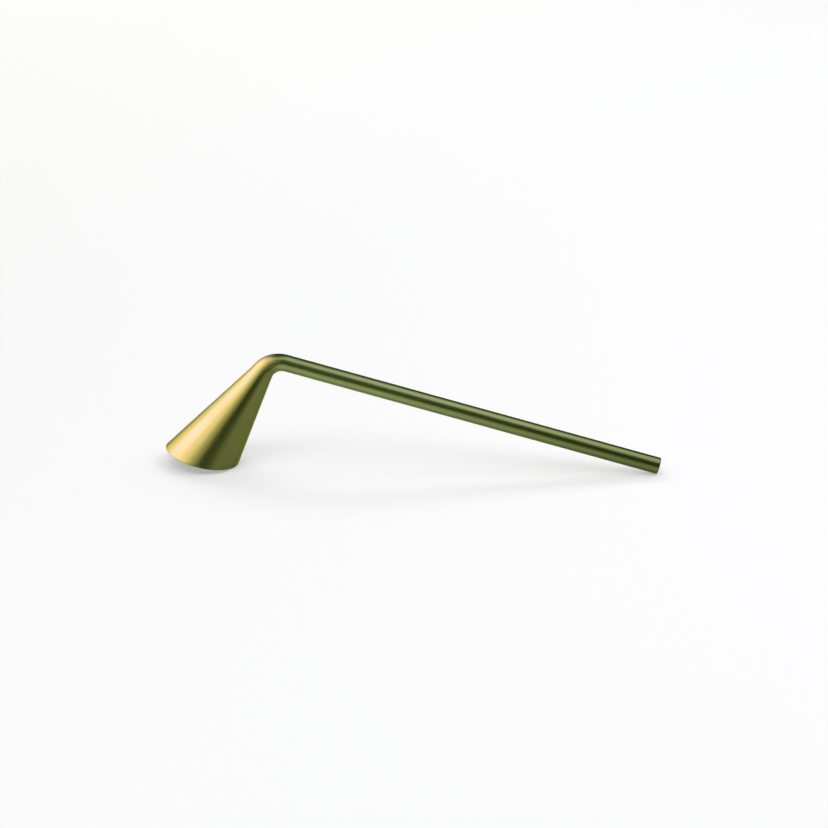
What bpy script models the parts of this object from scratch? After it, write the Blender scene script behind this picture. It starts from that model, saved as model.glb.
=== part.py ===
"""Candle snuffer: a hollow brass bell, an elbow and a long straight tube handle.

The snuffer stands as it rests on a table: on the edge of the bell's mouth that is nearest the
handle, and on the end of the handle. +Z is up, the handle runs towards +X, the table is at z = 0
and lengths are in metres.
"""
from math import atan2, cos, pi, radians, sin, tan

import bmesh
import bpy

# Bell
MOUTH_LENGTH = 0.03576  # outside, the long way across the slanting mouth
BELL_WALL = 0.0010
BELL_HALF_ANGLE = radians(12.46)  # from the bell's axis to its side
BELL_LEAN = radians(19.63)  # from the mouth's normal to the bell's axis, towards the handle
NECK_RADIUS = 0.0052  # outside, where the bell's taper reaches the elbow

# Elbow
BEND_RADIUS = 0.0104  # of the elbow's centre line
TAPER_ANGLE = radians(60.6)  # how far round the bend the elbow narrows
SPIGOT_RADIUS = 0.0027  # of the tenon at each end
SPIGOT_DEPTH = 0.0060  # how far a tenon reaches into the bell or the handle

# Handle
HANDLE_LENGTH = 0.1835  # from the end of the bend
HANDLE_RADIUS = 0.0040
HANDLE_WALL = 0.0010
HANDLE_SLOPE = radians(1.7)  # falls towards the plane of the mouth
END_CHAMFER = 0.0004
PLUG_THICKNESS = 0.0030
PLUG_CHAMFER = 0.0002

# Joints
FIT_GAP = 0.0003  # between surfaces that touch
BRAZE_WIDTH = 0.0008  # of the filler ring between two brazed pieces

# Smoothness
ROUND_STEPS = 64  # round every turned piece
BEND_STEPS = 12  # along each of the elbow's two stretches
MERGE_DISTANCE = 0.00001

# Brass, as base colour and roughness
SATIN_BRASS = ((0.56, 0.43, 0.18), 0.34)
HANDLE_BRASS = ((0.53, 0.42, 0.19), 0.32)
BRAZE_BRASS = ((0.60, 0.47, 0.22), 0.36)

# Worked out from the sizes above
JOINT_SPACE = BRAZE_WIDTH + 2 * FIT_GAP
SOCKET_RADIUS = SPIGOT_RADIUS + FIT_GAP
BORE_RADIUS = HANDLE_RADIUS - HANDLE_WALL
BEND_ANGLE = pi / 2 - BELL_LEAN + HANDLE_SLOPE
HANDLE_TURN = pi / 2 + HANDLE_SLOPE  # from the mouth's normal to the handle
APEX_HEIGHT = MOUTH_LENGTH / (
    cos(BELL_LEAN) * (tan(BELL_LEAN + BELL_HALF_ANGLE) - tan(BELL_LEAN - BELL_HALF_ANGLE))
)  # along the bell's axis, from the mouth's plane to the point its sides aim at
NECK_HEIGHT = APEX_HEIGHT - NECK_RADIUS / tan(BELL_HALF_ANGLE)


def mouth_reach(side):
    """How far the mouth reaches from the bell's axis: side is 1 towards the handle, -1 away."""
    across = tan(BELL_LEAN - side * BELL_HALF_ANGLE) * cos(BELL_LEAN)
    return side * APEX_HEIGHT * (sin(BELL_LEAN) - across)


def bell_radius(height):
    """The bell's outside radius at a height on its axis."""
    return (APEX_HEIGHT - height) * tan(BELL_HALF_ANGLE)


def handle_start():
    """Where the bend ends, as x and z in the mouth's frame."""
    along = BEND_RADIUS * sin(BEND_ANGLE) + NECK_HEIGHT
    across = BEND_RADIUS * (1 - cos(BEND_ANGLE))
    x = along * sin(BELL_LEAN) + across * cos(BELL_LEAN)
    z = along * cos(BELL_LEAN) - across * sin(BELL_LEAN)
    return x, z


def handle_point(along, below):
    """A point of the handle, as x and z in the mouth's frame."""
    x, z = handle_start()
    x += along * cos(HANDLE_SLOPE) - below * sin(HANDLE_SLOPE)
    z -= along * sin(HANDLE_SLOPE) + below * cos(HANDLE_SLOPE)
    return x, z


def resting_place():
    """The tilt and the place of the mouth's frame that set both contacts on the table."""
    near = mouth_reach(1)
    foot_x, foot_z = handle_point(HANDLE_LENGTH - END_CHAMFER, HANDLE_RADIUS)
    tilt = atan2(foot_z, foot_x - near)
    tip_x, tip_z = handle_point(HANDLE_LENGTH, END_CHAMFER - HANDLE_RADIUS)
    right = tip_x * cos(tilt) + tip_z * sin(tilt)
    left = -mouth_reach(-1) * cos(tilt)
    return tilt, (-(left + right) / 2, 0.0, near * sin(tilt))


def clear_scene():
    for item in list(bpy.data.objects):
        bpy.data.objects.remove(item, do_unlink=True)


def new_collection(name):
    collection = bpy.data.collections.new(name)
    bpy.context.scene.collection.children.link(collection)
    return collection


def brass(name, look):
    colour, roughness = look
    material = bpy.data.materials.new(name)
    material.use_nodes = True
    shader = material.node_tree.nodes["Principled BSDF"]
    shader.inputs["Base Color"].default_value = (*colour, 1.0)
    shader.inputs["Roughness"].default_value = roughness
    shader.inputs["Metallic"].default_value = 1.0
    return material


def place(item, collection, parent, spot=(0.0, 0.0, 0.0), turn=0.0):
    """Put an object in a collection, at a spot of its parent's frame, turned about Y."""
    for owner in list(item.users_collection):
        owner.objects.unlink(item)
    collection.objects.link(item)
    item.parent = parent
    item.location = spot
    item.rotation_euler = (0.0, turn, 0.0)


def turned(name, profile, closed):
    """A piece turned about its own Z axis from (radius, height) points.

    The points run down the outside. An open profile starts and ends on the axis.
    """
    mesh = bpy.data.meshes.new(name)
    shape = bmesh.new()
    corners = [shape.verts.new((radius, 0.0, height)) for radius, height in profile]
    for first, second in zip(corners, corners[1:]):
        shape.edges.new((first, second))
    if closed:
        shape.edges.new((corners[-1], corners[0]))
    shape.to_mesh(mesh)
    shape.free()
    item = bpy.data.objects.new(name, mesh)
    screw = item.modifiers.new("turn", "SCREW")
    screw.axis = "Z"
    screw.steps = ROUND_STEPS
    screw.render_steps = ROUND_STEPS
    screw.use_merge_vertices = True
    screw.merge_threshold = MERGE_DISTANCE
    return item


def boolean(item, other, operation):
    modifier = item.modifiers.new(operation.lower(), "BOOLEAN")
    modifier.operation = operation
    modifier.solver = "EXACT"
    modifier.object = other


def hide_tool(item):
    item.hide_render = True
    item.display_type = "WIRE"


def make_bell(parts, tools, mouth):
    """The hollow cone, with a socket for the elbow in its neck, trimmed along its mouth."""
    top = NECK_HEIGHT - JOINT_SPACE
    ledge = top - SPIGOT_DEPTH
    bottom = -mouth_reach(-1) * sin(BELL_LEAN) - 2 * BELL_WALL
    slant_wall = BELL_WALL / cos(BELL_HALF_ANGLE)
    profile = [
        (bell_radius(top), top),
        (bell_radius(bottom), bottom),
        (bell_radius(bottom) - slant_wall, bottom),
        (bell_radius(ledge) - slant_wall, ledge),
        (SOCKET_RADIUS, ledge),
        (SOCKET_RADIUS, top),
    ]
    bell = turned("bell", profile, closed=True)
    place(bell, parts, mouth, turn=BELL_LEAN)
    side = 2 * MOUTH_LENGTH
    bpy.ops.mesh.primitive_cube_add(size=side)
    trim = bpy.context.object
    trim.name = "mouth_trim"
    place(trim, tools, mouth, spot=(0.0, 0.0, -side / 2))
    hide_tool(trim)
    boolean(bell, trim, "DIFFERENCE")
    return bell


def make_neck_ring(parts, mouth):
    """Filler between the bell and the elbow, ground flush with the bell's taper."""
    low = NECK_HEIGHT - JOINT_SPACE + FIT_GAP
    high = NECK_HEIGHT - FIT_GAP
    profile = [
        (bell_radius(high), high),
        (bell_radius(low), low),
        (SOCKET_RADIUS, low),
        (SOCKET_RADIUS, high),
    ]
    ring = turned("neck_braze_ring", profile, closed=True)
    place(ring, parts, mouth, turn=BELL_LEAN)
    return ring


def arc_reach(angle):
    """How far a curve handle reaches from its point, for a stretch that follows the bend's circle."""
    return 4 / 3 * tan(angle / 4) * BEND_RADIUS


def bend_curve():
    """The elbow's body, as a tapering curve in the bell's frame with the neck at its origin."""
    curve = bpy.data.curves.new("elbow_body", "CURVE")
    curve.dimensions = "3D"
    curve.resolution_u = BEND_STEPS
    curve.bevel_depth = HANDLE_RADIUS
    curve.bevel_resolution = ROUND_STEPS // 2 - 2
    curve.use_fill_caps = True
    spline = curve.splines.new("BEZIER")
    spline.radius_interpolation = "LINEAR"
    stations = [(0.0, NECK_RADIUS), (TAPER_ANGLE, HANDLE_RADIUS), (BEND_ANGLE, HANDLE_RADIUS)]
    spline.bezier_points.add(len(stations) - 1)
    for index, (point, (angle, radius)) in enumerate(zip(spline.bezier_points, stations)):
        before = angle - stations[max(index - 1, 0)][0]
        after = stations[min(index + 1, len(stations) - 1)][0] - angle
        x, z = BEND_RADIUS * (1 - cos(angle)), BEND_RADIUS * sin(angle)
        back = arc_reach(before or after)
        ahead = arc_reach(after or before)
        point.co = (x, 0.0, z)
        point.handle_left = (x - back * sin(angle), 0.0, z - back * cos(angle))
        point.handle_right = (x + ahead * sin(angle), 0.0, z + ahead * cos(angle))
        point.radius = radius / HANDLE_RADIUS
    return curve


def make_spigot(name, tools, elbow, spot, turn):
    """A tenon that starts inside the elbow's body and stands out along its own +Z."""
    root = FIT_GAP + SPIGOT_RADIUS / 2
    length = root + JOINT_SPACE + SPIGOT_DEPTH
    bpy.ops.mesh.primitive_cylinder_add(
        vertices=ROUND_STEPS, radius=SPIGOT_RADIUS, depth=length
    )
    spigot = bpy.context.object
    spigot.name = name
    middle = length / 2 - root
    x, z = spot
    place(spigot, tools, elbow, (x + middle * sin(turn), 0.0, z + middle * cos(turn)), turn)
    hide_tool(spigot)
    return spigot


def make_elbow(parts, tools, mouth):
    """The solid bend, with a tenon for the bell and one for the handle."""
    body = bpy.data.objects.new("elbow_body", bend_curve())
    bpy.context.scene.collection.objects.link(body)
    graph = bpy.context.evaluated_depsgraph_get()
    mesh = bpy.data.meshes.new_from_object(body.evaluated_get(graph))
    bpy.data.objects.remove(body, do_unlink=True)
    shape = bmesh.new()
    shape.from_mesh(mesh)
    bmesh.ops.remove_doubles(shape, verts=shape.verts, dist=MERGE_DISTANCE)
    bmesh.ops.recalc_face_normals(shape, faces=shape.faces)
    shape.to_mesh(mesh)
    shape.free()
    elbow = bpy.data.objects.new("elbow", mesh)
    neck = (NECK_HEIGHT * sin(BELL_LEAN), 0.0, NECK_HEIGHT * cos(BELL_LEAN))
    place(elbow, parts, mouth, spot=neck, turn=BELL_LEAN)
    bend_end = (BEND_RADIUS * (1 - cos(BEND_ANGLE)), BEND_RADIUS * sin(BEND_ANGLE))
    for name, spot, turn in (
        ("bell_spigot", (0.0, 0.0), pi),
        ("handle_spigot", bend_end, BEND_ANGLE),
    ):
        boolean(elbow, make_spigot(name, tools, elbow, spot, turn), "UNION")
    return elbow


def make_handle(parts, mouth):
    """The straight tube, its filler ring and the plug that closes its far end."""
    x, z = handle_start()
    start = (x, 0.0, z)
    tube = turned("handle_tube", [
        (HANDLE_RADIUS - END_CHAMFER, HANDLE_LENGTH),
        (HANDLE_RADIUS, HANDLE_LENGTH - END_CHAMFER),
        (HANDLE_RADIUS, JOINT_SPACE),
        (BORE_RADIUS, JOINT_SPACE),
        (BORE_RADIUS, HANDLE_LENGTH),
    ], closed=True)
    ring = turned("handle_braze_ring", [
        (HANDLE_RADIUS, JOINT_SPACE - FIT_GAP),
        (HANDLE_RADIUS, FIT_GAP),
        (SOCKET_RADIUS, FIT_GAP),
        (SOCKET_RADIUS, JOINT_SPACE - FIT_GAP),
    ], closed=True)
    plug_radius = BORE_RADIUS - FIT_GAP
    plug = turned("end_plug", [
        (0.0, HANDLE_LENGTH),
        (plug_radius - PLUG_CHAMFER, HANDLE_LENGTH),
        (plug_radius, HANDLE_LENGTH - PLUG_CHAMFER),
        (plug_radius, HANDLE_LENGTH - PLUG_THICKNESS),
        (0.0, HANDLE_LENGTH - PLUG_THICKNESS),
    ], closed=False)
    for item in (tube, ring, plug):
        place(item, parts, mouth, spot=start, turn=HANDLE_TURN)
    return tube, ring, plug


def main():
    clear_scene()
    parts = new_collection("candle_snuffer")
    tools = new_collection("cutters")
    mouth = bpy.data.objects.new("mouth_frame", None)
    tilt, spot = resting_place()
    place(mouth, parts, None, spot=spot, turn=tilt)
    bell = make_bell(parts, tools, mouth)
    neck_ring = make_neck_ring(parts, mouth)
    elbow = make_elbow(parts, tools, mouth)
    tube, handle_ring, plug = make_handle(parts, mouth)
    looks = {
        bell: SATIN_BRASS,
        neck_ring: BRAZE_BRASS,
        elbow: SATIN_BRASS,
        handle_ring: BRAZE_BRASS,
        tube: HANDLE_BRASS,
        plug: HANDLE_BRASS,
    }
    for item, look in looks.items():
        item.data.materials.append(brass(item.name, look))
    print("mouth tilted %.2f degrees, bend of %.1f degrees" % (tilt * 180 / pi, BEND_ANGLE * 180 / pi))


main()
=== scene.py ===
# %% [markdown]
# # A satin brass candle snuffer
#
# The object is a hand tool for putting out candles: a hollow cone called the bell, a short tapering
# elbow at the cone's narrow end, and a long straight tube as the handle. This file dresses the packed
# solid model for a picture. It loads the solids as a fixed frame, builds smooth skins that stand for
# them, gives every skin a brushed brass finish, and lights the whole like a small product on a table.

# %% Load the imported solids
from math import atan2, cos, degrees, pi, radians, sin, tan

import bmesh
import bpy
import numpy as np
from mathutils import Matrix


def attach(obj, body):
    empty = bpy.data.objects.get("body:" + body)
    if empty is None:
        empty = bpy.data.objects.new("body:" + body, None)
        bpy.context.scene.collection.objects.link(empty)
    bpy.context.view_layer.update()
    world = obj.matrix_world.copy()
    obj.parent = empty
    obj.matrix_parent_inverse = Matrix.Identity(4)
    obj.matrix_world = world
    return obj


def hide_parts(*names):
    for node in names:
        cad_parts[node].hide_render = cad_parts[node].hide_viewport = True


MM = 1000  # millimetres in a metre, for what is printed and for the grain

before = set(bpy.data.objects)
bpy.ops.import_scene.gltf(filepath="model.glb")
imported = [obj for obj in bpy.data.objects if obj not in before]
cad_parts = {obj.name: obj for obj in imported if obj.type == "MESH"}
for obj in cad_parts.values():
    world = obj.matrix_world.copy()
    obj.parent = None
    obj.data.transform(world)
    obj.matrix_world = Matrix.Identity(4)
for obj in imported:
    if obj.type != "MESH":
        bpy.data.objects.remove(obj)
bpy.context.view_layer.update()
print("solids:", ", ".join(sorted(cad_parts)))

# %% [markdown]
# ## The sizes
#
# A skin only fits its solid if both are drawn from the same sizes. The solid model was drawn in the
# plane of the bell's mouth and then tipped on to the table, so the same few numbers are written here
# again: the mouth, the cone's lean and half angle, the bend and the handle. All lengths are in metres.

# %% Sizes of the bell, the elbow and the handle
MOUTH_LENGTH = 0.03576  # the long way across the slanting mouth
BELL_WALL = 0.0010
BELL_HALF_ANGLE = radians(12.46)
BELL_LEAN = radians(19.63)  # of the bell's axis, from square to the mouth's plane
NECK_RADIUS = 0.0052
BEND_RADIUS = 0.0104
TAPER_ANGLE = radians(60.6)  # how far round the bend the elbow narrows
SPIGOT_RADIUS = 0.0027  # of the tenon at each end of the elbow
SPIGOT_DEPTH = 0.0060
HANDLE_LENGTH = 0.1835
HANDLE_RADIUS = 0.0040
HANDLE_WALL = 0.0010
HANDLE_SLOPE = radians(1.7)  # of the handle, down towards the mouth's plane
PLUG_THICKNESS = 0.0030
BRAZE_START = 0.0003  # each ring of filler lies between these two distances from the bend
BRAZE_END = 0.0011

BEND_ANGLE = pi / 2 - BELL_LEAN + HANDLE_SLOPE
BEND_LENGTH = BEND_RADIUS * BEND_ANGLE
HANDLE_END = BEND_LENGTH + HANDLE_LENGTH
# The two heights are measured along the bell's axis, from the mouth's plane.
APEX_HEIGHT = MOUTH_LENGTH / (
    cos(BELL_LEAN) * (tan(BELL_LEAN + BELL_HALF_ANGLE) - tan(BELL_LEAN - BELL_HALF_ANGLE))
)
NECK_HEIGHT = APEX_HEIGHT - NECK_RADIUS / tan(BELL_HALF_ANGLE)
print("bend %.1f degrees, %.1f mm along" % (degrees(BEND_ANGLE), BEND_LENGTH * MM))

# %% [markdown]
# ## One surface for three pieces
#
# On the real snuffer the bell, the elbow and the handle were filed and brushed after brazing, so the
# outside is one surface with no step in it. It could be made by sweeping one shape and cutting it up.
# Here it is a formula instead: a spine that runs up the bell, round the bend and down the handle, and
# a radius at each distance along it. Any piece can then be cut from the same formula, and two pieces
# that meet share the same ring of points and the same slope there, so that no seam shows.

# %% The spine and the radius along it
EASE = 0.0040  # half the length over which the file has softened a change of taper


def spine(along):
    """The spine's point and direction, in the mouth's plane frame, as x and z."""
    lean = (sin(BELL_LEAN), cos(BELL_LEAN))
    inward = (cos(BELL_LEAN), -sin(BELL_LEAN))
    turn = min(max(along / BEND_RADIUS, 0.0), BEND_ANGLE)
    rest = along - turn * BEND_RADIUS
    forward = NECK_HEIGHT + BEND_RADIUS * sin(turn) + rest * cos(turn)
    aside = BEND_RADIUS * (1 - cos(turn)) + rest * sin(turn)
    point = [forward * lean[i] + aside * inward[i] for i in (0, 1)]
    direction = [cos(turn) * lean[i] + sin(turn) * inward[i] for i in (0, 1)]
    return point, direction


def softened(distance):
    """A ramp that is 0 before 0 and rises by 1 in 1 after it, with an eased corner."""
    if distance <= -EASE:
        return 0.0
    if distance >= EASE:
        return distance
    return (distance + EASE) ** 2 / (4 * EASE)


TAPER_LENGTH = TAPER_ANGLE * BEND_RADIUS
ELBOW_TAPER = (NECK_RADIUS - HANDLE_RADIUS) / TAPER_LENGTH


def outer_radius(along):
    """The outside radius: the cone's taper, then the elbow's slower taper, then the plain tube."""
    cone = (tan(BELL_HALF_ANGLE) - ELBOW_TAPER) * softened(-along)
    return HANDLE_RADIUS + ELBOW_TAPER * softened(TAPER_LENGTH - along) + cone


print("radius at the neck %.3f mm, at the handle %.3f mm" % (
    outer_radius(0.0) * MM, outer_radius(BEND_LENGTH) * MM))

# %% [markdown]
# ## From the mouth's frame to the table
#
# The snuffer rests on the edge of its mouth and on the end of its handle. The tilt that puts both on
# the table is worked out from the two contact points, as it was for the solids, so every ring of the
# skins can be written straight in the table's frame.

# %% Tilt the snuffer on to the table
END_CHAMFER = 0.0004


def mouth_reach(side):
    """How far the mouth reaches from the bell's axis: side is 1 towards the handle, -1 away."""
    across = tan(BELL_LEAN - side * BELL_HALF_ANGLE) * cos(BELL_LEAN)
    return side * APEX_HEIGHT * (sin(BELL_LEAN) - across)


def on_handle(along, below):
    """A point of the handle, as x and z in the mouth's frame."""
    (x, z), (dx, dz) = spine(along)
    return x + below * dz, z - below * dx


foot_x, foot_z = on_handle(HANDLE_END - END_CHAMFER, HANDLE_RADIUS)
TILT = atan2(foot_z, foot_x - mouth_reach(1))
tip_x, tip_z = on_handle(HANDLE_END, END_CHAMFER - HANDLE_RADIUS)
right_end = tip_x * cos(TILT) + tip_z * sin(TILT)
left_end = -mouth_reach(-1) * cos(TILT)
SHIFT = (-(left_end + right_end) / 2, mouth_reach(1) * sin(TILT))


def to_table(x, y, z):
    """A point of the mouth's frame, in the table's frame."""
    return (
        x * cos(TILT) + z * sin(TILT) + SHIFT[0],
        y,
        z * cos(TILT) - x * sin(TILT) + SHIFT[1],
    )


print("tilt %.2f degrees" % degrees(TILT))

# %% [markdown]
# ## Rings
#
# Every piece here is round, so a mesh of rings suits it: each ring is a circle of points, and faces
# join one ring to the next. A ring can sit square across the spine, as on the handle, or in the plane
# of the slanting mouth. The count round a ring is high, because polished metal shows every flat.

# %% Rings square across the spine, and rings in the mouth's plane
ROUND = 192
ANGLES = [2 * pi * i / ROUND for i in range(ROUND)]  # 0 is the inside of the bend, pi its outside


def square_ring(along, radius):
    """A ring across the spine."""
    (x, z), (dx, dz) = spine(along)
    return [
        to_table(x + radius * cos(a) * dz, radius * sin(a), z - radius * cos(a) * dx)
        for a in ANGLES
    ]


def cone_to_plane(angle, inset, lift):
    """Where a straight line down the cone meets the mouth's plane, as a distance along the spine.

    The cone is drawn in by inset, measured across the spine, and the plane is raised by lift.
    """
    drop = NECK_HEIGHT * cos(BELL_LEAN) - lift
    reach = NECK_RADIUS - inset
    slope = cos(BELL_LEAN) + tan(BELL_HALF_ANGLE) * cos(angle) * sin(BELL_LEAN)
    return (reach * cos(angle) * sin(BELL_LEAN) - drop) / slope


def cone_point(angle, along, inset):
    """A point of the cone, drawn in by inset."""
    (x, z), (dx, dz) = spine(along)
    radius = NECK_RADIUS - inset - along * tan(BELL_HALF_ANGLE)
    return to_table(x + radius * cos(angle) * dz, radius * sin(angle), z - radius * cos(angle) * dx)


def mouth_ring(inset, lift):
    """A ring round the cone that lies in the mouth's plane, or above it by lift."""
    return [cone_point(a, cone_to_plane(a, inset, lift), inset) for a in ANGLES]


mouth = np.array(mouth_ring(0.0, 0.0))
print("mouth, mm:", (mouth.min(0) * MM).round(2), (mouth.max(0) * MM).round(2))

# %% [markdown]
# ## A mesh from rings
#
# These helpers join rings into a closed skin: bands of faces from ring to ring, and a fan of them
# where the piece ends on its axis. The rings that are edges of the real piece are marked as sharp.
# Each corner also carries two facts for the finish, which are stored on the mesh as attributes.
# `grain` holds the angle round the piece (as a cosine and a sine, so that it has no seam) and the
# distance along it in millimetres. `around` holds the direction round the piece, which a brushed
# metal needs to know, because brushing spreads a highlight across the grain.

# %% Build a piece from a loop of rings
TINY = 1e-6  # a step in metres, to measure a slope with


def add_rings(shape, rings, sizes):
    """Add the corners of each ring, with their places in the grain, and give them back in rows."""
    grain = shape.verts.layers.float_vector.new("grain")
    around = shape.verts.layers.float_vector.new("around")
    rows = []
    for (points, along), size in zip(rings, sizes):
        row = []
        for angle, point, before, after in zip(
            ANGLES, points, points[-1:] + points[:-1], points[1:] + points[:1]
        ):
            corner = shape.verts.new(point)
            corner[grain] = (size * cos(angle), size * sin(angle), along * MM)
            step = np.subtract(after, before)
            corner[around] = tuple(step / np.linalg.norm(step))
            row.append(corner)
        rows.append(row)
    return rows


def join_rows(shape, upper, lower):
    """A band of faces from one ring to the next."""
    for i in range(ROUND):
        j = (i + 1) % ROUND
        shape.faces.new((upper[i], upper[j], lower[j], lower[i]))


def close_row(shape, row, ring, order):
    """A fan of faces from a ring to the point in its middle. order -1 turns the faces over."""
    points, along = ring
    pole = shape.verts.new(tuple(np.mean(points, axis=0)))
    pole[shape.verts.layers.float_vector["grain"]] = (0.0, 0.0, along * MM)
    pole[shape.verts.layers.float_vector["around"]] = (0.0, 1.0, 0.0)
    for i in range(ROUND):
        shape.faces.new((pole, row[(i + 1) % ROUND], row[i])[::order])


def ring_piece(name, rings, sharp, skin=(), closed=True, shares=()):
    """A mesh piece. rings are (points, distance along in metres); sharp names the sharp rings.

    skin lists the ring numbers that lie on the shared outside surface, whose exact slope they take.
    With closed, the last ring joins the first; otherwise both end on a point of the axis. shares are
    the sizes of the last rings, as parts of the whole, where they lie on a flat face.
    """
    shape = bmesh.new()
    rows = add_rings(shape, rings, [1.0] * (len(rings) - len(shares)) + list(shares))
    for upper, lower in zip(rows, rows[1:]):
        join_rows(shape, upper, lower)
    if closed:
        join_rows(shape, rows[-1], rows[0])
    else:
        close_row(shape, rows[0], rings[0], 1)
        close_row(shape, rows[-1], rings[-1], -1)
    for face in shape.faces:
        face.smooth = True
    for number in sharp:
        row = rows[number]
        for i in range(ROUND):
            shape.edges.get((row[i], row[(i + 1) % ROUND])).smooth = False
    bmesh.ops.recalc_face_normals(shape, faces=shape.faces)
    mesh = bpy.data.meshes.new(name)
    shape.to_mesh(mesh)
    shape.free()
    piece = bpy.data.objects.new(name, mesh)
    bpy.context.scene.collection.objects.link(piece)
    if skin:
        blend_slopes(mesh, rings, set(skin))
    print("%s: %d faces" % (name, len(mesh.polygons)))
    return piece


def surface_slope(along, angle):
    """The outward direction of the shared outside surface, in the table's frame."""
    _, (dx, dz) = spine(along)
    rise = (outer_radius(along + TINY) - outer_radius(along - TINY)) / (2 * TINY)
    bend = 1 / BEND_RADIUS if 0.0 < along < BEND_LENGTH else 0.0
    stretch = 1 - bend * outer_radius(along) * cos(angle)
    local = np.array((
        cos(angle) * dz * stretch - rise * dx,
        sin(angle) * stretch,
        -cos(angle) * dx * stretch - rise * dz,
    ))
    start, end = np.array(to_table(0, 0, 0)), np.array(to_table(*local))
    return (end - start) / np.linalg.norm(end - start)


def blend_slopes(mesh, rings, skin):
    """Give the corners on the shared surface its exact slope, so that neighbours shade alike."""
    corners = [tuple(corner.vector) for corner in mesh.corner_normals]
    exact = {}
    for number in skin:
        for i, angle in enumerate(ANGLES):
            exact[number * ROUND + i] = tuple(surface_slope(rings[number][1], angle))
    for face in mesh.polygons:
        if all(vertex // ROUND in skin for vertex in face.vertices):
            for loop in face.loop_indices:
                corners[loop] = exact[mesh.loops[loop].vertex_index]
    mesh.normals_split_custom_set(corners)


# %% [markdown]
# ## The bell
#
# The real bell is rolled or spun from sheet about a millimetre thick, and its mouth is cut on a slant
# and then eased with a file, so that it has no burr. A cone primitive could be cut by a plane, but a
# Boolean leaves long thin faces that shade badly. Here the rings start square at the neck and end in
# the plane of the mouth: between the two, each point slides down its own straight line on the cone.
# The rings then turn round the lip and go back up inside, to the ledge that the elbow's tenon fills.

# %% The bell, hollow, with an eased lip
LIP = 0.00022  # radius of the eased edges of the lip
LEDGE_FILLET = 0.0006
WALL_ACROSS = BELL_WALL / cos(BELL_HALF_ANGLE)
BELL_TOP = -BRAZE_END
NECK_ROWS = 10
BELL_ROWS = 36
QUARTERS = (0.25, 0.5, 0.75, 1.0)  # steps round an eased edge


def bell_rings():
    """Rings from the neck down the outside and round the lip, and the numbers of the smooth ones."""
    rings = []
    low = -EASE  # below this the taper is plain, and the lines down the cone are straight
    for along in np.linspace(BELL_TOP, low, NECK_ROWS):
        rings.append((square_ring(along, outer_radius(along)), along))
    skin = range(NECK_ROWS)
    rim = [cone_to_plane(a, 0.0, LIP) for a in ANGLES]
    for row in range(1, BELL_ROWS + 1):
        share = row / BELL_ROWS
        points = [cone_point(a, low + (end - low) * share, 0.0) for a, end in zip(ANGLES, rim)]
        rings.append((points, low + (np.mean(rim) - low) * share))
    lip_at = float(np.mean(rim))
    for turn in QUARTERS:
        inset = LIP * (1 - cos(turn * pi / 2))
        lift = LIP * (1 - sin(turn * pi / 2))
        rings.append((mouth_ring(inset, lift), lip_at - turn * LIP))
    for turn in (0.0, *QUARTERS):
        inset = WALL_ACROSS - LIP * (1 - sin(turn * pi / 2))
        lift = LIP * (1 - cos(turn * pi / 2))
        rings.append((mouth_ring(inset, lift), lip_at - WALL_ACROSS - turn * LIP))
    return rings, skin


def bell_inside(rings):
    """Rings from the lip up the inside to the ledge, and up the socket to the top."""
    ledge = BELL_TOP - BRAZE_START - SPIGOT_DEPTH
    rim = [cone_to_plane(a, WALL_ACROSS, LIP) for a in ANGLES]
    top = ledge - LEDGE_FILLET
    for row in range(1, BELL_ROWS + 1):
        share = row / BELL_ROWS
        points = [
            cone_point(a, end + (top - end) * share, WALL_ACROSS) for a, end in zip(ANGLES, rim)
        ]
        rings.append((points, np.mean(rim) + (top - np.mean(rim)) * share))
    wide = NECK_RADIUS - WALL_ACROSS - top * tan(BELL_HALF_ANGLE)
    for turn in QUARTERS:
        taper = turn * tan(BELL_HALF_ANGLE)
        radius = wide - LEDGE_FILLET * (1 - cos(turn * pi / 2)) - LEDGE_FILLET * taper
        points = square_ring(top + LEDGE_FILLET * sin(turn * pi / 2), radius)
        rings.append((points, top + LEDGE_FILLET * turn))
    rings.append((square_ring(ledge, SPIGOT_RADIUS), ledge))
    rings.append((square_ring(BELL_TOP, SPIGOT_RADIUS), BELL_TOP))
    return rings


rings, skin = bell_rings()
rings = bell_inside(rings)
last = len(rings) - 1
bell = ring_piece("bell_skin", rings, sharp=(0, last - 1, last), skin=skin)
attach(bell, "root")
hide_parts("bell")

# %% [markdown]
# ## The two rings of filler
#
# Where the bell and the handle meet the elbow, the real joint is a ring of melted filler that was
# then ground flush. It carries the same brushing as its neighbours and cannot be told from them in
# the photograph. Each ring is therefore cut from the shared surface too.

# %% A ring of filler, flush with its neighbours
FILLER_ROWS = 5


def filler_ring(name, start, end, node):
    """A ring of filler from start to end along the spine, which stands for one solid."""
    rows = np.linspace(start, end, FILLER_ROWS)
    rings = [(square_ring(along, outer_radius(along)), along) for along in rows]
    rings.append((square_ring(end, SPIGOT_RADIUS), end))
    rings.append((square_ring(start, SPIGOT_RADIUS), start))
    sharp = (0, FILLER_ROWS - 1, FILLER_ROWS, FILLER_ROWS + 1)
    piece = ring_piece(name, rings, sharp=sharp, skin=range(FILLER_ROWS))
    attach(piece, "root")
    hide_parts(node)
    return piece


neck_filler = filler_ring("neck_filler", -BRAZE_END, -BRAZE_START, "neck_braze_ring")
handle_filler = filler_ring(
    "handle_filler", BEND_LENGTH + BRAZE_START, BEND_LENGTH + BRAZE_END, "handle_braze_ring"
)

# %% [markdown]
# ## The elbow
#
# The elbow is a solid bend that narrows from the bell's neck to the handle, with a plain tenon at
# each end. Its outside is the shared surface once more. The tenon that goes down into the bell ends
# level with the ledge, where it can be seen by looking up into the mouth, so its end is modelled.

# %% The elbow with its tenons
ELBOW_ROWS = 60
TENON_ROWS = 3
TENON_EDGE = 0.0003  # size of the bevel at a tenon's end


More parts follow.
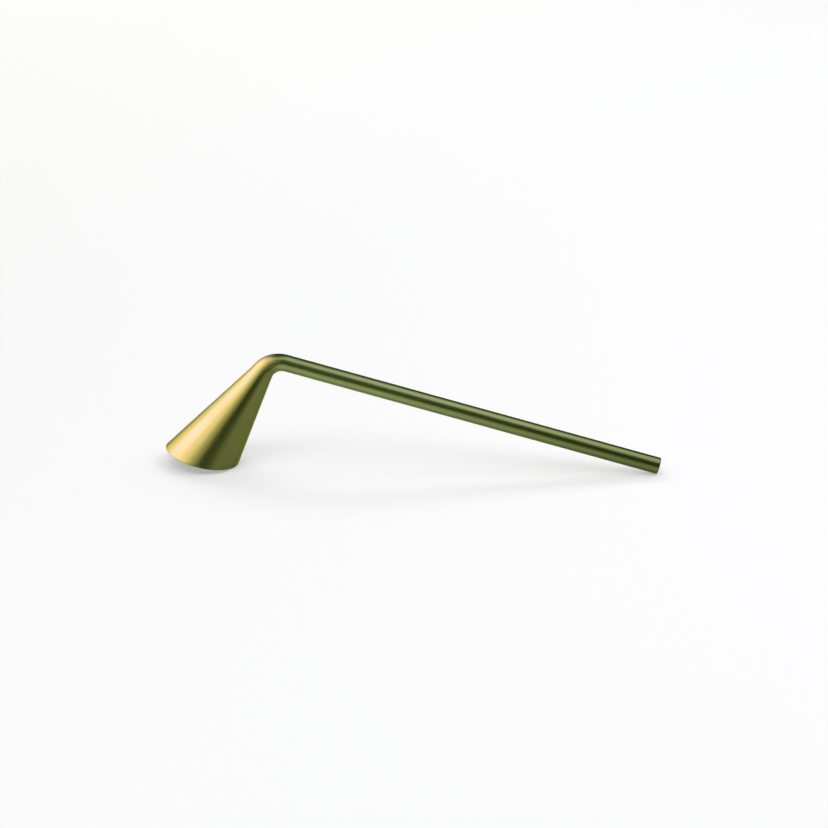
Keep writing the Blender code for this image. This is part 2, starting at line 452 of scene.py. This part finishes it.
def elbow_rings():
    """Rings from the tenon in the bell, over the outside, to the tenon in the handle."""
    start, end = -BRAZE_START, BEND_LENGTH + BRAZE_START
    neck_end = -BRAZE_END - BRAZE_START - SPIGOT_DEPTH
    handle_end = BEND_LENGTH + BRAZE_END + BRAZE_START + SPIGOT_DEPTH
    rings = [
        (square_ring(neck_end, SPIGOT_RADIUS - TENON_EDGE), neck_end),
        (square_ring(neck_end + TENON_EDGE, SPIGOT_RADIUS), neck_end + TENON_EDGE),
        (square_ring(start, SPIGOT_RADIUS), start),
    ]
    for along in np.linspace(start, end, ELBOW_ROWS):
        rings.append((square_ring(along, outer_radius(along)), along))
    rings += [
        (square_ring(end, SPIGOT_RADIUS), end),
        (square_ring(handle_end - TENON_EDGE, SPIGOT_RADIUS), handle_end - TENON_EDGE),
        (square_ring(handle_end, SPIGOT_RADIUS - TENON_EDGE), handle_end),
    ]
    return rings


rings = elbow_rings()
last = len(rings) - 1
sharp = [*range(TENON_ROWS + 1), *range(last - TENON_ROWS, last + 1)]
skin = range(TENON_ROWS, TENON_ROWS + ELBOW_ROWS)
elbow = ring_piece("elbow_skin", rings, sharp=sharp, skin=skin, closed=False)
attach(elbow, "root")
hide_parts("elbow")

# %% [markdown]
# ## The handle
#
# The handle is plain drawn tube, cut square, with the edge of the cut broken by a file. The far end
# is closed by a turned plug that is pressed in and faced off level. The tube is modelled with its
# bore, so that its end has a real wall, and the plug is a piece of its own with a hairline round it.
# On the plug's flat face the grain is scaled down towards the middle, or it would show as wedges.

# %% The tube
HANDLE_ROWS = 90
EDGE = 0.00047  # radius of the broken edge
EDGE_STEPS = (0.2, 0.4, 0.6, 0.8, 1.0)
BORE_EDGE = 0.00008  # size of the bevel at the mouth of the bore


def tube_rings():
    """Rings down the outside, over the broken edge, and back up the bore."""
    start = BEND_LENGTH + BRAZE_END
    rows = np.linspace(start, HANDLE_END - EDGE, HANDLE_ROWS)
    rings = [(square_ring(along, outer_radius(along)), along) for along in rows]
    for turn in EDGE_STEPS:
        along = HANDLE_END - EDGE * (1 - sin(turn * pi / 2))
        rings.append((square_ring(along, HANDLE_RADIUS - EDGE * (1 - cos(turn * pi / 2))), along))
    bore = HANDLE_RADIUS - HANDLE_WALL
    rings.append((square_ring(HANDLE_END, bore + BORE_EDGE), HANDLE_END))
    rings.append((square_ring(HANDLE_END - BORE_EDGE, bore), HANDLE_END - BORE_EDGE))
    rings.append((square_ring(start, bore), start))
    return rings


rings = tube_rings()
last = len(rings) - 1
tube = ring_piece(
    "handle_skin", rings, sharp=(0, last - 2, last - 1, last), skin=range(HANDLE_ROWS)
)
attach(tube, "root")
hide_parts("handle_tube")

# %% The plug in its far end
PLUG_GAP = 0.00002  # width of the hairline round it
PLUG_EDGE = 0.00012
PLUG_STEPS = (0.5, 1.0)
PLUG_SHARES = (0.75, 0.5, 0.25, 0.08)  # the sizes of the rings on its flat face


def plug_rings():
    """Rings up the plug's side, over its edge, and in across its flat face."""
    radius = HANDLE_RADIUS - HANDLE_WALL - PLUG_GAP
    start = HANDLE_END - PLUG_THICKNESS
    rings = [(square_ring(start, radius), start)]
    rings.append((square_ring(HANDLE_END - PLUG_EDGE, radius), HANDLE_END - PLUG_EDGE))
    for turn in PLUG_STEPS:
        along = HANDLE_END - PLUG_EDGE * (1 - sin(turn * pi / 2))
        rings.append((square_ring(along, radius - PLUG_EDGE * (1 - cos(turn * pi / 2))), along))
    for share in PLUG_SHARES:
        rings.append((square_ring(HANDLE_END, (radius - PLUG_EDGE) * share), HANDLE_END))
    return rings


rings = plug_rings()
plug = ring_piece("end_plug_face", rings, sharp=(0,), closed=False, shares=PLUG_SHARES)
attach(plug, "root")
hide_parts("end_plug")

# %% [markdown]
# ## Brushed brass
#
# The photograph shows brass with a satin, lengthwise brushing and a thin lacquer over it: broad soft
# bands of light along the grain, and a highlight that is paler than the metal. The bell is painted a
# deeper tone than the handle, as painted shade for the darker ground that its side mirrors. The
# handle is painted darker towards its far end, which comes near the table, and along its underside:
# painted shade, for the shadow on the table that it mirrors there.
#
# An image of scratches could be used, but it would stretch on the cone. Noise that is read from the
# `grain` attribute is better: it is long along the piece and short round it, and it follows the
# cone's straight lines. The fine noise moves three things a little: the colour, the roughness, and
# the slope of the surface. Two slower noises add clouds of patina and long streaks, which are by
# turns warmer and paler. A soft dark band is painted down the front as a painted reflection: there
# the photograph's dark bands are deeper than the room alone would make them.

# %% Helpers for the finish
def fill(node, values):
    """Fill in the values of some of a node's sockets."""
    for key, value in values.items():
        node.inputs[key].default_value = value


def new_node(tree, kind, values, **settings):
    """A node with some of its sockets' values and its settings filled in."""
    node = tree.nodes.new(kind)
    for key, value in settings.items():
        setattr(node, key, value)
    fill(node, values)
    return node


def grain_noise(tree, source, stretch, detail, roughness):
    """Noise in the grain's own space, stretched by (round, round, along)."""
    shaped = new_node(tree, "ShaderNodeVectorMath", {1: stretch}, operation="MULTIPLY")
    noise = new_node(
        tree, "ShaderNodeTexNoise", {"Scale": 1.0, "Detail": detail, "Roughness": roughness}
    )
    tree.links.new(source, shaped.inputs[0])
    tree.links.new(shaped.outputs["Vector"], noise.inputs["Vector"])
    return noise.outputs["Fac"]


def remapped(tree, source, low, high, to_low=0.0, to_high=1.0, interpolation="LINEAR"):
    """A number from low to high, stretched to run from to_low to to_high, and held there."""
    node = new_node(tree, "ShaderNodeMapRange", {
        "From Min": low, "From Max": high, "To Min": to_low, "To Max": to_high,
    }, interpolation_type=interpolation)
    tree.links.new(source, node.inputs["Value"])
    return node.outputs["Result"]


def mixed(tree, share, first, second):
    """A colour between two, each of them given as numbers or by a node."""
    node = new_node(tree, "ShaderNodeMix", {}, data_type="RGBA")
    colours = [item for item in node.inputs if item.type == "RGBA"]
    for item, value in zip(colours, (first, second)):
        if isinstance(value, tuple):
            item.default_value = (*value, 1.0)
        else:
            tree.links.new(value, item)
    tree.links.new(share, node.inputs["Factor"])
    return [item for item in node.outputs if item.type == "RGBA"][0]


def scaled(tree, source, factors):
    """A colour with each channel multiplied."""
    node = new_node(tree, "ShaderNodeVectorMath", {1: factors}, operation="MULTIPLY")
    tree.links.new(source, node.inputs[0])
    return node.outputs["Vector"]


def combined(tree, operation, first, second):
    """A number worked out from two others."""
    node = new_node(tree, "ShaderNodeMath", {}, operation=operation)
    tree.links.new(first, node.inputs[0])
    tree.links.new(second, node.inputs[1])
    return node.outputs[0]


# %% [markdown]
# The numbers below are colours of bare metal, which a Principled shader with full Metallic shows only
# by what it reflects. They were found by comparing: where the brass in the photograph mirrors the
# white ground, its own brightness is the metal's colour. Where shade is painted into the finish, the
# colour is multiplied by what the painted shade leaves of it. Each such place has a soft border,
# given as two values between which the change runs.

# %% The finish itself
EDGE_TINT = (0.55, 0.57, 0.30)  # colour of what the metal mirrors at a glancing angle
# The bell's tones are darker than the handle's: painted shade, for the darker ground it mirrors.
BELL_SHADED_TONE = (0.127, 0.141, 0.036)
BELL_SHADED_DARK = (0.115, 0.131, 0.030)
BELL_SHADED_BRIGHT = (0.153, 0.165, 0.050)
HANDLE_TONE = (0.238, 0.284, 0.107)
HANDLE_DARK = (0.218, 0.263, 0.093)
HANDLE_BRIGHT = (0.276, 0.322, 0.134)
TONE_FROM, TONE_TO = 5.5, 10.5  # where the bell's painted shade ends, in millimetres along the spine
FAR_END_SHADE_FROM, FAR_END_SHADE_TO = 60.0, 185.0  # where the tube is painted darker towards its far end
FAR_END_PAINTED_SHADE = (0.54, 0.58, 0.48)  # painted shade: what is left of the colour near the far end
STREAK_WARM = (1.01, 0.985, 0.86)  # long streaks that the brush and the heat have left
STREAK_PALE = (0.99, 1.02, 1.15)
UNDERSIDE_PAINTED_SHADE = (0.62, 0.62, 0.62)  # painted shade: what is left of the colour on the tube's underside
UNDERSIDE_SHADE_FROM, UNDERSIDE_SHADE_TO = 0.25, 0.50  # its border, as the cosine of the angle round the tube
BELL_PAINTED_DARK_BAND = (0.36, 0.39, 0.24)  # painted reflection: what is left of the colour in the dark band down the front
HANDLE_PAINTED_DARK_BAND = (0.66, 0.70, 0.48)
DARK_BAND_START = (-0.12, -0.01)  # the painted band's two borders, as the same cosine
DARK_BAND_END = (0.12, 0.35)
DARK_BAND_FRONT = (-0.8, -0.5)  # the sine, which is near -1 at the front
DARK_BAND_SHIFT = 0.23  # how far the painted band is turned round on the handle
BRUSHING = ((22.0, 22.0, 0.12), 5.0, 0.65)  # a noise's stretch, its detail and its roughness
CLOUDS = ((1.2, 1.2, 0.05), 3.0, 0.55)
STREAKS = ((8.0, 8.0, 0.12), 2.0, 0.6)
BRUSHING_RANGE = (0.42, 0.75)  # the part of each noise's range in which the colour changes
CLOUD_RANGE = (0.35, 0.68)
STREAK_RANGE = (0.36, 0.64)
BRIGHT_SHARE = 0.55  # how far the brushing goes towards the bright tone
ROUGH_RANGE = (0.3, 0.7)
ROUGHNESS = (0.18, 0.27)  # the least and the most that the brushing gives
SCRATCH_DEPTH = 0.00002
SCRATCH_STRENGTH = 0.25
SPREAD = 0.35  # how far the brushing spreads a highlight across the grain
LACQUER = 0.10
LACQUER_ROUGHNESS = 0.25
LACQUER_INDEX = 1.5  # its index of refraction


def brushed_brass(name):
    """Lacquered brushed brass: a deeper tone on the bell, a lighter one on the handle."""
    material = bpy.data.materials.new(name)
    material.use_nodes = True
    tree = material.node_tree
    shader = tree.nodes["Principled BSDF"]
    fill(shader, {
        "Metallic": 1.0,
        "Anisotropic": SPREAD,
        "Specular Tint": (*EDGE_TINT, 1.0),
        "Coat Weight": LACQUER,
        "Coat Roughness": LACQUER_ROUGHNESS,
        "Coat IOR": LACQUER_INDEX,
    })
    grain = new_node(tree, "ShaderNodeAttribute", {}, attribute_name="grain")
    around = new_node(tree, "ShaderNodeAttribute", {}, attribute_name="around")
    tree.links.new(around.outputs["Vector"], shader.inputs["Tangent"])
    fine = grain_noise(tree, grain.outputs["Vector"], *BRUSHING)
    cloud = grain_noise(tree, grain.outputs["Vector"], *CLOUDS)
    split = new_node(tree, "ShaderNodeSeparateXYZ", {})
    tree.links.new(grain.outputs["Vector"], split.inputs[0])
    # The bell's deeper tone, which gives way to the handle's along the elbow, is painted shade.
    along = remapped(tree, split.outputs["Z"], TONE_FROM, TONE_TO)
    plain = mixed(tree, along, BELL_SHADED_TONE, HANDLE_TONE)
    dark = mixed(tree, along, BELL_SHADED_DARK, HANDLE_DARK)
    bright = mixed(tree, along, BELL_SHADED_BRIGHT, HANDLE_BRIGHT)
    patina = mixed(tree, remapped(tree, cloud, *CLOUD_RANGE), plain, dark)
    brushed = remapped(tree, fine, *BRUSHING_RANGE, 0.0, BRIGHT_SHARE)
    colour = mixed(tree, brushed, patina, bright)
    streak = grain_noise(tree, grain.outputs["Vector"], *STREAKS)
    colour = mixed(
        tree,
        remapped(tree, streak, *STREAK_RANGE),
        scaled(tree, colour, STREAK_WARM),
        scaled(tree, colour, STREAK_PALE),
    )
    # Painted shade: the tube is darker towards its far end, which comes near the table.
    far_end_shade = remapped(tree, split.outputs["Z"], FAR_END_SHADE_FROM, FAR_END_SHADE_TO)
    colour = mixed(tree, far_end_shade, colour, scaled(tree, colour, FAR_END_PAINTED_SHADE))
    # Painted shade: the tube's underside is darker, for the shadow on the table that it mirrors.
    low = remapped(tree, split.outputs["X"], UNDERSIDE_SHADE_FROM, UNDERSIDE_SHADE_TO)
    below = combined(tree, "MULTIPLY", low, along)
    colour = mixed(tree, below, colour, scaled(tree, colour, UNDERSIDE_PAINTED_SHADE))
    # Painted reflection: a soft dark band down the front of the bell and the handle, deeper on the
    # bell.
    shift = remapped(tree, along, 0.0, 1.0, 0.0, DARK_BAND_SHIFT)
    across = combined(tree, "ADD", split.outputs["X"], shift)
    rise = remapped(tree, across, *DARK_BAND_START)
    fall = remapped(tree, across, *DARK_BAND_END, 1.0, 0.0)
    front = remapped(tree, split.outputs["Y"], *DARK_BAND_FRONT, 1.0, 0.0)
    painted_dark_band = combined(tree, "MULTIPLY", combined(tree, "MULTIPLY", rise, fall), front)
    dark_banded_colour = mixed(tree, along, scaled(tree, colour, BELL_PAINTED_DARK_BAND), scaled(tree, colour, HANDLE_PAINTED_DARK_BAND))
    colour = mixed(tree, painted_dark_band, colour, dark_banded_colour)
    tree.links.new(colour, shader.inputs["Base Color"])
    rough = remapped(tree, fine, *ROUGH_RANGE, *ROUGHNESS)
    tree.links.new(rough, shader.inputs["Roughness"])
    bump = new_node(tree, "ShaderNodeBump", {"Strength": SCRATCH_STRENGTH, "Distance": SCRATCH_DEPTH})
    tree.links.new(fine, bump.inputs["Height"])
    tree.links.new(bump.outputs["Normal"], shader.inputs["Normal"])
    return material


bell_finish = brushed_brass("bell_brass_finish")
handle_finish = brushed_brass("handle_brass_finish")
for piece, finish in (
    (bell, bell_finish),
    (elbow, bell_finish),
    (neck_filler, bell_finish),
    (handle_filler, handle_finish),
    (tube, handle_finish),
    (plug, handle_finish),
):
    piece.data.materials.append(finish)
print("finishes:", ", ".join(sorted(m.name for m in bpy.data.materials if "finish" in m.name)))

# %% [markdown]
# ## The table
#
# The photograph has a plain white ground. A large matt disc does for it, and it keeps the soft shadow
# that ties the snuffer to it. Plain paper would need strong lamps to come out white, and they would
# bleach the metal. A share of plain white is mixed into the paper instead. It is there for the rays
# that come straight from the camera and for those that metal and glass send on, so that the brass
# mirrors the same ground that is seen round it.

# %% The floor
FLOOR_RADIUS = 8.0
FLOOR_SIDES = 96
FLOOR_PAPER = (0.93, 0.93, 0.93, 1.0)
FLOOR_WHITE = 0.40  # the share of plain white in what the camera and the metal see


def make_floor():
    """A flat disc of matt white paper."""
    shape = bmesh.new()
    bmesh.ops.create_circle(shape, cap_ends=True, segments=FLOOR_SIDES, radius=FLOOR_RADIUS)
    mesh = bpy.data.meshes.new("floor")
    shape.to_mesh(mesh)
    shape.free()
    floor = bpy.data.objects.new("floor", mesh)
    bpy.context.scene.collection.objects.link(floor)
    material = bpy.data.materials.new("floor_paper")
    material.use_nodes = True
    tree = material.node_tree
    tree.nodes.remove(tree.nodes["Principled BSDF"])
    paper = new_node(tree, "ShaderNodeBsdfDiffuse", {"Color": FLOOR_PAPER})
    white = new_node(tree, "ShaderNodeEmission", {"Color": (1.0, 1.0, 1.0, 1.0), "Strength": 1.0})
    path = new_node(tree, "ShaderNodeLightPath", {})
    mirrored = combined(
        tree, "ADD", path.outputs["Is Glossy Ray"], path.outputs["Is Transmission Ray"]
    )
    seen = combined(tree, "ADD", path.outputs["Is Camera Ray"], mirrored)
    share = new_node(tree, "ShaderNodeMath", {1: FLOOR_WHITE}, operation="MULTIPLY")
    blend = tree.nodes.new("ShaderNodeMixShader")
    tree.links.new(seen, share.inputs[0])
    tree.links.new(share.outputs[0], blend.inputs[0])
    tree.links.new(paper.outputs[0], blend.inputs[1])
    tree.links.new(white.outputs[0], blend.inputs[2])
    tree.links.new(blend.outputs[0], tree.nodes["Material Output"].inputs["Surface"])
    mesh.materials.append(material)


make_floor()
print("floor: a disc of %.0f m radius" % FLOOR_RADIUS)

# %% [markdown]
# ## The light
#
# What a polished cone shows is the room. Reading the bands of the photograph as reflections tells
# where the lamps stood: one large warm reflector that wraps round the left side, a wide softbox
# overhead, and nothing in front, because the middle of the bell is dark. Every band has a soft
# border. A plain area lamp is as bright at its rim as in its middle, so its reflection ends in a hard
# line. A real softbox fades towards its rim, and a few nodes on the lamp do the same.

# %% A softbox that fades towards its rim
def rim_fade(tree, place, axis, side, share):
    """0 at one side of the lamp (side 0 or 1 of that axis), rising to 1 over a share of its size."""
    inner = share if side == 0 else 1 - share
    return remapped(tree, place.outputs[axis], side, inner, interpolation="SMOOTHSTEP")


def softbox(name, place, turn, size, radiance, colour, fades):
    """An area lamp of size (width, height). fades are shares: both sides, the bottom, the top."""
    width, height = size
    lamp = bpy.data.lights.new(name, "AREA")
    lamp.shape = "RECTANGLE"
    lamp.size = width
    lamp.size_y = height
    lamp.color = colour
    lamp.energy = radiance * width * height * pi  # in watts
    lamp.use_nodes = True
    tree = lamp.node_tree
    surface = new_node(tree, "ShaderNodeNewGeometry", {})
    split = new_node(tree, "ShaderNodeSeparateXYZ", {})
    tree.links.new(surface.outputs["Parametric"], split.inputs[0])
    across, low, high = fades
    glow = rim_fade(tree, split, "X", 0, across)
    for axis, side, share in (("X", 1, across), ("Y", 0, low), ("Y", 1, high)):
        glow = combined(tree, "MULTIPLY", glow, rim_fade(tree, split, axis, side, share))
    tree.links.new(glow, tree.nodes["Emission"].inputs["Strength"])
    item = bpy.data.objects.new(name, lamp)
    item.location = place
    item.rotation_euler = turn
    item.visible_camera = False
    bpy.context.scene.collection.objects.link(item)
    return item


# %% [markdown]
# The reflector is a tall warm sheet. One lamp could stand for it, but the band that it leaves on the
# bell is brightest in the middle and dies away to both sides. So it is made of five panels that
# overlap where they fade, each with a brightness of its own, and of a low core that makes the foot of
# the band paler than its top. The metal is olive, so it takes a rose light to bring out the gold, and
# the core is blue, which takes some of the yellow out again. The panels are seen in the metal only.
# The table gets its light from above, and a pool of coloured light on it would not match the white
# ground.

# %% The warm reflector on the left, in five panels and a core
KEY_DISTANCE = 1.2
KEY_AIM = 0.02  # height that the panels face
ROSE = (1.2, 0.78, 1.1)
VIOLET = (0.93, 0.78, 1.4)
SAND = (0.93, 0.78, 0.66)
BLUE = (0.0, 0.0, 1.0)


def key_panel(name, azimuth, half_width, elevations, radiance, colour, fades):
    """A panel that faces the snuffer and is seen in the metal only.

    Azimuth 0 is the camera's side and 90 is +X. Angles are in degrees.
    """
    middle = radians(sum(elevations) / 2)
    half_height = radians(elevations[1] - elevations[0]) / 2
    turn = radians(azimuth)
    place = (
        KEY_DISTANCE * sin(turn) * cos(middle),
        -KEY_DISTANCE * cos(turn) * cos(middle),
        KEY_DISTANCE * sin(middle) + KEY_AIM,
    )
    size = [2 * KEY_DISTANCE * tan(half) for half in (radians(half_width), half_height)]
    panel = softbox(name, place, (pi / 2 - middle, 0.0, turn), size, radiance, colour, fades)
    panel.visible_diffuse = False


key_panel("key_1", -140, 20, (0, 45), 2.5, VIOLET, (0.50, 0.04, 0.30))
key_panel("key_2", -118, 30, (0, 66), 5.3, ROSE, (0.50, 0.05, 0.55))
key_panel("key_3", -88, 30, (0, 78), 6.3, ROSE, (0.50, 0.05, 0.62))
key_panel("key_4", -58, 30, (0, 74), 5.2, ROSE, (0.50, 0.05, 0.62))
key_panel("key_5", -32, 28, (0, 55), 2.6, SAND, (0.50, 0.05, 0.60))
key_panel("key_core", -94, 29, (0, 54), 5.2, BLUE, (0.50, 0.05, 0.50))

# %% [markdown]
# The top of the handle mirrors what hangs overhead. A large softbox, turned a little, gives the pale
# line along the tube. A smaller and dimmer one stands at its left, and a panel that is only mirrored
# lies above the elbow, whose top would be too dark without it. Two more lamps even out the table.
# They are kept out of the reflections, because the photograph shows no band for them.

# %% The softboxes overhead, and two lamps that only light the table
OVERHEAD_COLOUR = (1.02, 0.96, 1.18)
PANEL_COLOUR = (0.96, 1.0, 0.75)
WASH_COLOUR = (1.0, 1.01, 1.01)
FLAT = (0.0, 0.0, 0.0)
SOFT = (0.5, 0.5, 0.5)  # fades that reach the lamp's middle
WASH_FADES = (0.35, 0.35, 0.35)
for name, place, turn, size, radiance in (
    ("overhead_softbox", (0.82, 0.15, 1.0), radians(56), (2.6, 1.86), 2.62),
    ("overhead_left", (-0.20, -0.28, 1.0), 0.0, (1.1, 1.2), 2.1),
):
    softbox(name, place, (0.0, 0.0, turn), size, radiance, OVERHEAD_COLOUR, SOFT)
overhead_panel = softbox(
    "overhead_panel", (-0.24, -0.32, 1.02), FLAT, (1.1, 1.4), 0.9, PANEL_COLOUR, SOFT
)
overhead_panel.visible_diffuse = False
for name, place, size, radiance in (
    ("wash_back", (-0.62, 1.10, 1.2), (3.4, 0.8), 4.7),
    ("wash_left", (-0.50, -0.72, 1.1), (2.4, 1.2), 2.6),
):
    wash = softbox(name, place, FLAT, size, radiance, WASH_COLOUR, WASH_FADES)
    wash.visible_glossy = False
print("lamps:", ", ".join(lamp.name for lamp in bpy.data.lights))

# %% [markdown]
# Where the brass mirrors no lamp and no table, it mirrors the room. Those parts are a deep olive in
# the photograph, so the room is dim and almost grey. It is the same for every ray.

# %% A dim room
ROOM = (0.112, 0.128, 0.058, 1.0)
world = bpy.data.worlds.new("room")
bpy.context.scene.world = world
world.use_nodes = True
fill(world.node_tree.nodes["Background"], {"Color": ROOM, "Strength": 1.0})
bpy.context.scene.view_settings.view_transform = "Standard"

# %% [markdown]
# ## The camera
#
# The photograph was taken from a little above with a long lens: the outline fits an upright camera
# that looks down by 22 degrees from about 1.4 m away.

# %% The camera
LENS = 130.43  # in millimetres, as is the width of the sensor
SENSOR = 36.0
PLACE = (0.08203, -1.315268, 0.567537)
LOOK_DOWN = 22.284  # in degrees, as is the next
LOOK_ASIDE = 3.538
camera_data = bpy.data.cameras.new("camera")
camera_data.lens = LENS
camera_data.sensor_width = SENSOR
camera_data.clip_start = 0.05
camera_data.clip_end = 30.0
camera = bpy.data.objects.new("camera", camera_data)
camera.location = PLACE
camera.rotation_euler = (radians(90 - LOOK_DOWN), 0.0, radians(LOOK_ASIDE))
bpy.context.scene.collection.objects.link(camera)
bpy.context.scene.camera = camera
print("camera: %.2f m from the middle of the table" % camera.location.length)

# %% [markdown]
# ## The end
#
# The skins must not make the snuffer bigger than its solids. The last step brings the scene up
# to date.

# %% Bring the scene up to date
bpy.context.view_layer.update()
